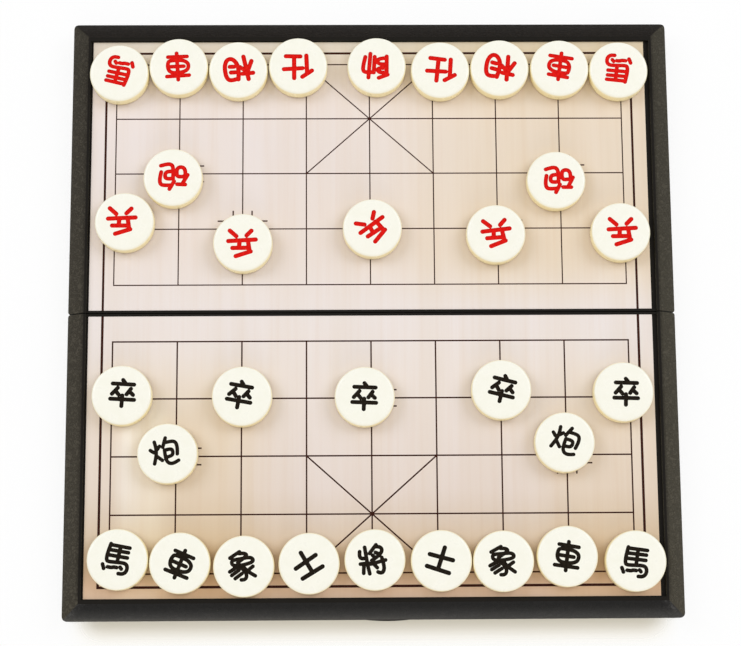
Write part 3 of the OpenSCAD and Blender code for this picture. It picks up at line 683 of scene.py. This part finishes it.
def board_lines(left, right, inner, outer, rear):
    """All the printed lines of one half, drawn with its river at y = 0 and its back row at positive y."""
    thin = THIN_LINE_REAR if rear else THIN_LINE_FRONT
    thick = BORDER_LINE_REAR if rear else BORDER_LINE_FRONT
    pitch_x = (right - left - MARGIN_LEFT - MARGIN_RIGHT) / (COLUMNS - 1)
    first_x = left + MARGIN_LEFT
    last_x = right - MARGIN_RIGHT
    pitch_y = (outer - MARGIN_OUTER) / (ROWS - 0.5)
    xs = [first_x + i * pitch_x for i in range(COLUMNS)]
    ys = [(j + 0.5) * pitch_y for j in range(ROWS)]
    past = thin / 2
    bars = [bar(xs[0] - past, y, xs[-1] + past, y, thin) for y in ys]
    bars += [bar(x, ys[0] - past, x, ys[-1] + past, thin) for x in xs]
    middle = COLUMNS // 2
    low = ys[-1 - PALACE_ROWS]
    for side in (-PALACE_HALF, PALACE_HALF):
        bars.append(bar(xs[middle - side], low, xs[middle + side], ys[-1], thin))
    for column in CANNON_COLUMNS:
        bars += point_ticks(xs[middle + column], ys[CANNON_ROW], True, True)
    for column in SOLDIER_COLUMNS:
        i = middle + column
        bars += point_ticks(xs[i], ys[SOLDIER_ROW], i > 0, i < COLUMNS - 1)
    border_y = ys[-1] + (BORDER_BACK_REAR if rear else BORDER_BACK_FRONT)
    for x in (first_x - BORDER_SIDE, last_x + BORDER_SIDE):
        bars.append(bar(x, inner, x, border_y + thick / 2, thick))
    bars.append(bar(first_x - BORDER_SIDE, border_y, last_x + BORDER_SIDE, border_y, thick))
    return bars


def printed_sheet(node, paper, ink):
    """A board sheet whose top is parted into bare and inked faces."""
    low, high = (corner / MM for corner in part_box(node))
    rear = high.y > -low.y
    inner, outer = (low.y, high.y) if rear else (-high.y, -low.y)
    bars = board_lines(low.x, high.x, inner, outer, rear)
    outlines = [[Vector(p) for p in ((low.x, inner), (high.x, inner), (high.x, outer), (low.x, outer))]]
    outlines += [bar_corners(one) for one in bars]
    points = [p for outline in outlines for p in outline]
    edges, start = [], 0
    for outline in outlines:
        count = len(outline)
        edges += [(start + i, start + (i + 1) % count) for i in range(count)]
        start += count
    verts, _, faces, *_ = delaunay_2d_cdt(points, edges, [], 0, LINE_MERGE)
    spots = np.array([[sum(verts[i][a] for i in face) / 3 for a in (0, 1)] for face in faces])
    inked = np.zeros(len(faces), bool)
    for middle, along, half_long, half_wide in bars:
        dx, dy = spots[:, 0] - middle.x, spots[:, 1] - middle.y
        on_length = abs(dx * along.x + dy * along.y) < half_long
        inked |= on_length & (abs(dy * along.x - dx * along.y) < half_wide)
    sign = 1 if rear else -1
    bm = bmesh.new()
    top = [bm.verts.new((v.x * MM, sign * v.y * MM, high.z * MM)) for v in verts]
    for face, dark in zip(faces, inked):
        made = bm.faces.new([top[i] for i in (face if rear else reversed(face))])
        made.material_index = int(dark)
    close_sheet(bm, low.z * MM)
    mesh = bpy.data.meshes.new(node + "_printed")
    bm.to_mesh(mesh)
    bm.free()
    for material in (paper, ink):
        mesh.materials.append(material)
    return new_object(node + "_printed", mesh)


def close_sheet(bm, floor_z):
    """Walls from the edge of the top down, and one face underneath."""
    rim = [edge for edge in bm.edges if edge.is_boundary]
    made = bmesh.ops.extrude_edge_only(bm, edges=rim)
    lowered = [v for v in made["geom"] if isinstance(v, bmesh.types.BMVert)]
    for vert in lowered:
        vert.co.z = floor_z
    for face in made["geom"]:
        if isinstance(face, bmesh.types.BMFace):
            face.material_index = 0
    under = [edge for edge in bm.edges if edge.is_boundary]
    filled = bmesh.ops.contextual_create(bm, geom=under)
    for face in filled["faces"]:
        face.material_index = 0
    bmesh.ops.recalc_face_normals(bm, faces=bm.faces[:])


# Men

def stroke_distance(strokes, x, y):
    """Distance from points to the middle of the nearest stroke."""
    nearest = np.full(np.shape(x), 1e9)
    for line in strokes:
        for (x0, y0), (x1, y1) in zip(line, line[1:]):
            dx, dy = x1 - x0, y1 - y0
            share = np.clip(((x - x0) * dx + (y - y0) * dy) / (dx * dx + dy * dy), 0, 1)
            nearest = np.minimum(nearest, np.hypot(x - x0 - share * dx, y - y0 - share * dy))
    return nearest


def rounded(line):
    """The line with its inner corners cut twice, so that it bends smoothly."""
    closed = line[0] == line[-1]
    for _ in range(2):
        cut = []
        for (x0, y0), (x1, y1) in zip(line, line[1:]):
            cut.append((x0 * 0.75 + x1 * 0.25, y0 * 0.75 + y1 * 0.25))
            cut.append((x0 * 0.25 + x1 * 0.75, y0 * 0.25 + y1 * 0.75))
        line = cut + [cut[0]] if closed else [line[0]] + cut[1:-1] + [line[-1]]
    return line


def traced_outline(strokes, width):
    """Points and edges of the closed curves round the strokes, traced on a fine grid."""
    count = int(2 * FIELD_REACH / FIELD_STEP) + 1
    grid = np.linspace(-FIELD_REACH, FIELD_REACH, count)
    field = stroke_distance(strokes, *np.meshgrid(grid, grid, indexing="ij")) - width / 2
    step = grid[1] - grid[0]
    points, found, edges = [], {}, []

    def crossing(i, j, across):
        """The point where the outline crosses the grid's edge from (i, j), made once."""
        key = (i, j, across)
        if key not in found:
            a = field[i, j]
            b = field[i + 1, j] if across else field[i, j + 1]
            t = step * a / (a - b)
            found[key] = len(points)
            points.append(Vector((grid[i] + (t if across else 0), grid[j] + (0 if across else t))))
        return found[key]

    inside = field < 0
    for i in range(count - 1):
        for j in range(count - 1):
            corners = (inside[i, j], inside[i + 1, j], inside[i + 1, j + 1], inside[i, j + 1])
            if all(corners) or not any(corners):
                continue
            sides = ((i, j, True), (i + 1, j, False), (i, j + 1, True), (i, j, False))
            cuts = [crossing(*s) for s, a, b in zip(sides, corners, corners[1:] + corners[:1]) if a != b]
            if len(cuts) == 4:
                middle_in = field[i:i + 2, j:j + 2].mean() < 0
                cuts = cuts if middle_in == corners[1] else cuts[1:] + cuts[:1]
            edges += [tuple(cuts[k:k + 2]) for k in range(0, len(cuts), 2)]
    return points, edges


def in_outline(spots, points, edges):
    """Whether each spot lies inside the closed curves, by the crossings to its right."""
    inside = np.zeros(len(spots), bool)
    x, y = spots[:, 0], spots[:, 1]
    for a, b in edges:
        (xa, ya), (xb, yb) = points[a], points[b]
        if ya != yb:
            between = (ya > y) != (yb > y)
            inside ^= between & (x < xa + (y - ya) * (xb - xa) / (yb - ya))
    return inside


def ring_of(bm, radius, height):
    return [bm.verts.new((radius * math.cos(a) * MM, radius * math.sin(a) * MM, height * MM))
            for a in (2 * math.pi * i / MAN_SIDES for i in range(MAN_SIDES))]


def bridge(bm, lower, upper, material=0):
    """Faces between two rings of the same count."""
    for i in range(len(lower)):
        j = (i + 1) % len(lower)
        bm.faces.new((lower[i], lower[j], upper[j], upper[i])).material_index = material


def turned(bm, profile, material=0):
    """A surface turned round the middle, closed with a face at each end."""
    rings = [ring_of(bm, r, z) for r, z in profile]
    for lower, upper in zip(rings, rings[1:]):
        bridge(bm, lower, upper, material)
    return rings


def quarter(centre_r, centre_z, radius, first, last):
    """Points of a round in the profile between two angles, in degrees."""
    return [(centre_r + radius * math.cos(math.radians(a)), centre_z + radius * math.sin(math.radians(a)))
            for a in np.linspace(first, last, ROUND_STEPS + 1)]


def man_mesh(name, strokes, width, radius, height, materials):
    """A man: recessed foot with its magnet, rounded rim, and a face with the mark sunk into it."""
    bm = bmesh.new()
    profile = [(RECESS_R, RECESS_DEEP), (RECESS_R, 0.0)]
    profile += quarter(radius - FOOT_ROUND, FOOT_ROUND, FOOT_ROUND, -90, 0)
    profile += quarter(radius - TOP_ROUND, height - TOP_ROUND, TOP_ROUND, 0, 90)
    rings = turned(bm, profile)
    bm.faces.new(reversed(rings[0]))
    sunk_face(bm, rings[-1], strokes, width, height)
    add_magnet(bm)
    bmesh.ops.recalc_face_normals(bm, faces=bm.faces[:])
    mesh = bpy.data.meshes.new(name)
    bm.to_mesh(mesh)
    bm.free()
    for material in materials:
        mesh.materials.append(material)
    smooth_mesh(mesh, SHARP_ANGLE)
    return mesh


def sunk_face(bm, rim, strokes, width, height):
    """The face inside the rim's last ring, with painted faces lowered where the mark is."""
    points, edges = traced_outline(strokes, width)
    circle = [Vector((v.co.x / MM, v.co.y / MM)) for v in rim]
    first = len(points)
    loop = [(first + i, first + (i + 1) % len(circle)) for i in range(len(circle))]
    verts, _, faces, origins, *_ = delaunay_2d_cdt(points + circle, edges + loop, [], 0, MARK_MERGE)
    spots = np.array([[sum(verts[i][a] for i in face) / 3 for a in (0, 1)] for face in faces])
    painted = in_outline(spots, points, edges)
    tops, floors = {}, {}
    for i, sources in enumerate(origins):
        on_rim = [s - first for s in sources if s >= first]
        if on_rim:
            tops[i] = rim[on_rim[0]]

    def vert(i, sunk):
        level = floors if sunk else tops
        if i not in level:
            drop = MARK_DEEP if sunk else 0.0
            level[i] = bm.verts.new((verts[i].x * MM, verts[i].y * MM, (height - drop) * MM))
        return level[i]

    for face, sunk in zip(faces, painted):
        bm.faces.new([vert(i, sunk) for i in face]).material_index = int(sunk)
    walls(bm, faces, painted, tops, floors)


def walls(bm, faces, painted, tops, floors):
    """The mark's sides: a face for each edge that parts the painted faces from the bare ones."""
    sunk_edges, bare_edges = set(), set()
    for face, sunk in zip(faces, painted):
        for i, j in zip(face, face[1:] + face[:1]):
            (sunk_edges if sunk else bare_edges).add((i, j))
    for i, j in sunk_edges:
        if (j, i) in bare_edges:
            bm.faces.new((floors[j], floors[i], tops[i], tops[j])).material_index = PAINT_SLOT


def add_magnet(bm):
    """The magnet disc in the foot, with broken edges."""
    inner = MAGNET_R - MAGNET_CHAMFER
    rings = turned(bm, [
        (inner, MAGNET_LOW),
        (MAGNET_R, MAGNET_LOW + MAGNET_CHAMFER),
        (MAGNET_R, MAGNET_HIGH - MAGNET_CHAMFER),
        (inner, MAGNET_HIGH),
    ], material=MAGNET_SLOT)
    bm.faces.new(reversed(rings[0])).material_index = MAGNET_SLOT
    bm.faces.new(rings[-1]).material_index = MAGNET_SLOT


def build_men(ivory, paints, ferrite):
    """A piece for each man, with its own mark, turned and put on its node's place."""
    for node, (mark, turn, right, up) in MEN.items():
        colour = node.split("_")[0]
        low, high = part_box(node)
        radius = (high.x - low.x) / 2 / MM
        height = (high.z - low.z) / MM
        width, lines = MARKS[mark]
        width *= RED_WIDTH if colour == "red" else 1.0
        strokes = [[(x + right, y + up) for x, y in rounded(line)] for line in lines]
        mesh = man_mesh(node + "_marked", strokes, width, radius, height, (ivory, paints[colour], ferrite))
        towards = math.pi if colour == "red" else 0.0
        spot = Vector(((low.x + high.x) / 2, (low.y + high.y) / 2, low.z))
        mesh.transform(Matrix.Translation(spot) @ Matrix.Rotation(towards - math.radians(turn), 4, "Z"))
        man = new_object(node + "_marked", mesh)
        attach(man, node + "_man")
        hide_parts(node)


# Scene

def build_sheets(paper, ink):
    for node, body in (("front_board_sheet", "front_half"), ("rear_board_sheet", "rear_half")):
        sheet = printed_sheet(node, paper, ink)
        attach(sheet, body)
        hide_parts(node)


def dress_nodes(nodes):
    """Give each CAD node that stays in view its material."""
    dressed = {
        case_plastic(): ("front_case", "rear_case"),
        latch_plastic(): ("latch",),
        rolled_steel(): ("front_steel_plate", "rear_steel_plate"),
        pin_steel(): ("left_hinge_pin", "right_hinge_pin", "latch_pin"),
    }
    for material, names in dressed.items():
        for name in names:
            nodes[name].data.materials.clear()
            nodes[name].data.materials.append(material)


def openness(m, below):
    """How open the space next to the floor is, above it or below it."""
    node = m.tree.nodes.new("ShaderNodeAmbientOcclusion")
    node.inside = below
    node.samples = OPEN_SAMPLES
    node.inputs["Distance"].default_value = OPEN_REACH
    return node.outputs["AO"]


def front_shade(m, below):
    """Where the painted warm shade lies along the case's front edge, unless something is below the floor."""
    near = m.span_mm(m.axis("Y"), SHADE_FRONT)
    near = m.math("MULTIPLY", near, m.span_mm(m.axis("Y"), SHADE_REAR))
    sides = m.span_mm(m.math("ABSOLUTE", m.axis("X")), SHADE_SIDES)
    near = m.math("MULTIPLY", near, sides)
    return m.math("MULTIPLY", near, m.span(below, *reversed(CROSSED)))


def floor_material():
    """Pale and dull to the light. To the camera it is mostly clear, with the white world behind: least
    along the case's front edge, not at all inside the hollow halves, and wholly where something reaches
    below it, as the rear half does when it folds under the front one."""
    m = Nodes("floor_white", FLOOR_PALE, 0.9, specular=0.0)
    below = openness(m, True)
    near = front_shade(m, below)
    clear = m.tree.nodes.new("ShaderNodeBsdfTransparent")
    m.link(m.mix(near, (1.0, 1.0, 1.0), SHADE_CLEAR), clear.inputs["Color"])
    m.colour(m.mix(near, FLOOR_PALE, SHADE_PALE))
    share = m.span(near, 0.0, 1.0, FLOOR_CLEAR, FRONT_CLEAR)
    share = m.math("MULTIPLY", share, m.span(openness(m, False), *HOLLOW))
    share = m.math("MAXIMUM", share, m.span(below, *CROSSED))
    path = m.tree.nodes.new("ShaderNodeLightPath")
    seen = m.math("MAXIMUM", path.outputs["Is Camera Ray"], path.outputs["Is Glossy Ray"])
    seen = m.math("MAXIMUM", seen, path.outputs["Is Transmission Ray"])
    mix = m.tree.nodes.new("ShaderNodeMixShader")
    m.link(m.math("MULTIPLY", seen, share), mix.inputs["Fac"])
    m.link(m.shader.outputs["BSDF"], mix.inputs[1])
    m.link(clear.outputs["BSDF"], mix.inputs[2])
    m.link(mix.outputs["Shader"], m.tree.nodes["Material Output"].inputs["Surface"])
    return m.material


def add_floor():
    bpy.ops.mesh.primitive_plane_add(size=FLOOR_SIZE, location=(0, 0, -FLOOR_DROP))
    floor = bpy.context.object
    floor.name = "floor"
    floor.data.materials.append(floor_material())


def add_world():
    """An even pale light, which camera, mirror and glass rays see as white."""
    world = bpy.data.worlds.new("studio")
    bpy.context.scene.world = world
    world.use_nodes = True
    tree = world.node_tree
    light = tree.nodes["Background"]
    light.inputs["Color"].default_value = (*WORLD_TINT, 1.0)
    light.inputs["Strength"].default_value = WORLD_LIGHT
    seen = tree.nodes.new("ShaderNodeBackground")
    seen.inputs["Color"].default_value = (1.0, 1.0, 1.0, 1.0)
    path = tree.nodes.new("ShaderNodeLightPath")
    share = path.outputs["Is Camera Ray"]
    for name in ("Is Glossy Ray", "Is Transmission Ray"):
        either = tree.nodes.new("ShaderNodeMath")
        either.operation = "MAXIMUM"
        tree.links.new(share, either.inputs[0])
        tree.links.new(path.outputs[name], either.inputs[1])
        share = either.outputs["Value"]
    mix = tree.nodes.new("ShaderNodeMixShader")
    tree.links.new(share, mix.inputs["Fac"])
    tree.links.new(light.outputs["Background"], mix.inputs[1])
    tree.links.new(seen.outputs["Background"], mix.inputs[2])
    tree.links.new(mix.outputs["Shader"], tree.nodes["World Output"].inputs["Surface"])


def add_light(name, place, size, power, colour):
    data = bpy.data.lights.new(name, "AREA")
    data.shape = "SQUARE"
    data.size = size
    data.energy = power
    data.color = colour
    light = new_object(name, data)
    light.location = place
    look_at(light, (0, 0, 0))


def add_camera():
    data = bpy.data.cameras.new("photo_view")
    data.lens = CAMERA_LENS
    data.sensor_width = CAMERA_SENSOR
    data.clip_start = 0.01
    data.clip_end = 20.0
    camera = new_object("photo_view", data)
    camera.matrix_world = (
        Matrix.Translation(CAMERA_AT)
        @ Matrix.Rotation(CAMERA_TURN, 4, "Y")
        @ Matrix.Rotation(CAMERA_TILT, 4, "X")
        @ Matrix.Rotation(CAMERA_ROLL, 4, "Z")
    )
    bpy.context.scene.camera = camera


def main():
    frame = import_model()
    bpy.context.scene.view_settings.view_transform = "Standard"
    add_camera()
    add_world()
    for name, side in (("left_light", -1), ("right_light", 1)):
        place = (side * SIDE_LIGHT_AT[0], SIDE_LIGHT_AT[1], SIDE_LIGHT_AT[2])
        add_light(name, place, SIDE_LIGHT_SIZE, SIDE_LIGHT_POWER, SIDE_TINT)
    add_light("fill", FILL_AT, FILL_SIZE, FILL_POWER, WORLD_TINT)
    add_floor()
    dress_nodes(frame["nodes"])
    build_sheets(board_paper(), board_ink())
    paints = {colour: mark_paint(colour + "_paint", *shades) for colour, shades in PAINTS.items()}
    build_men(man_ivory(), paints, magnet_ferrite())


main()
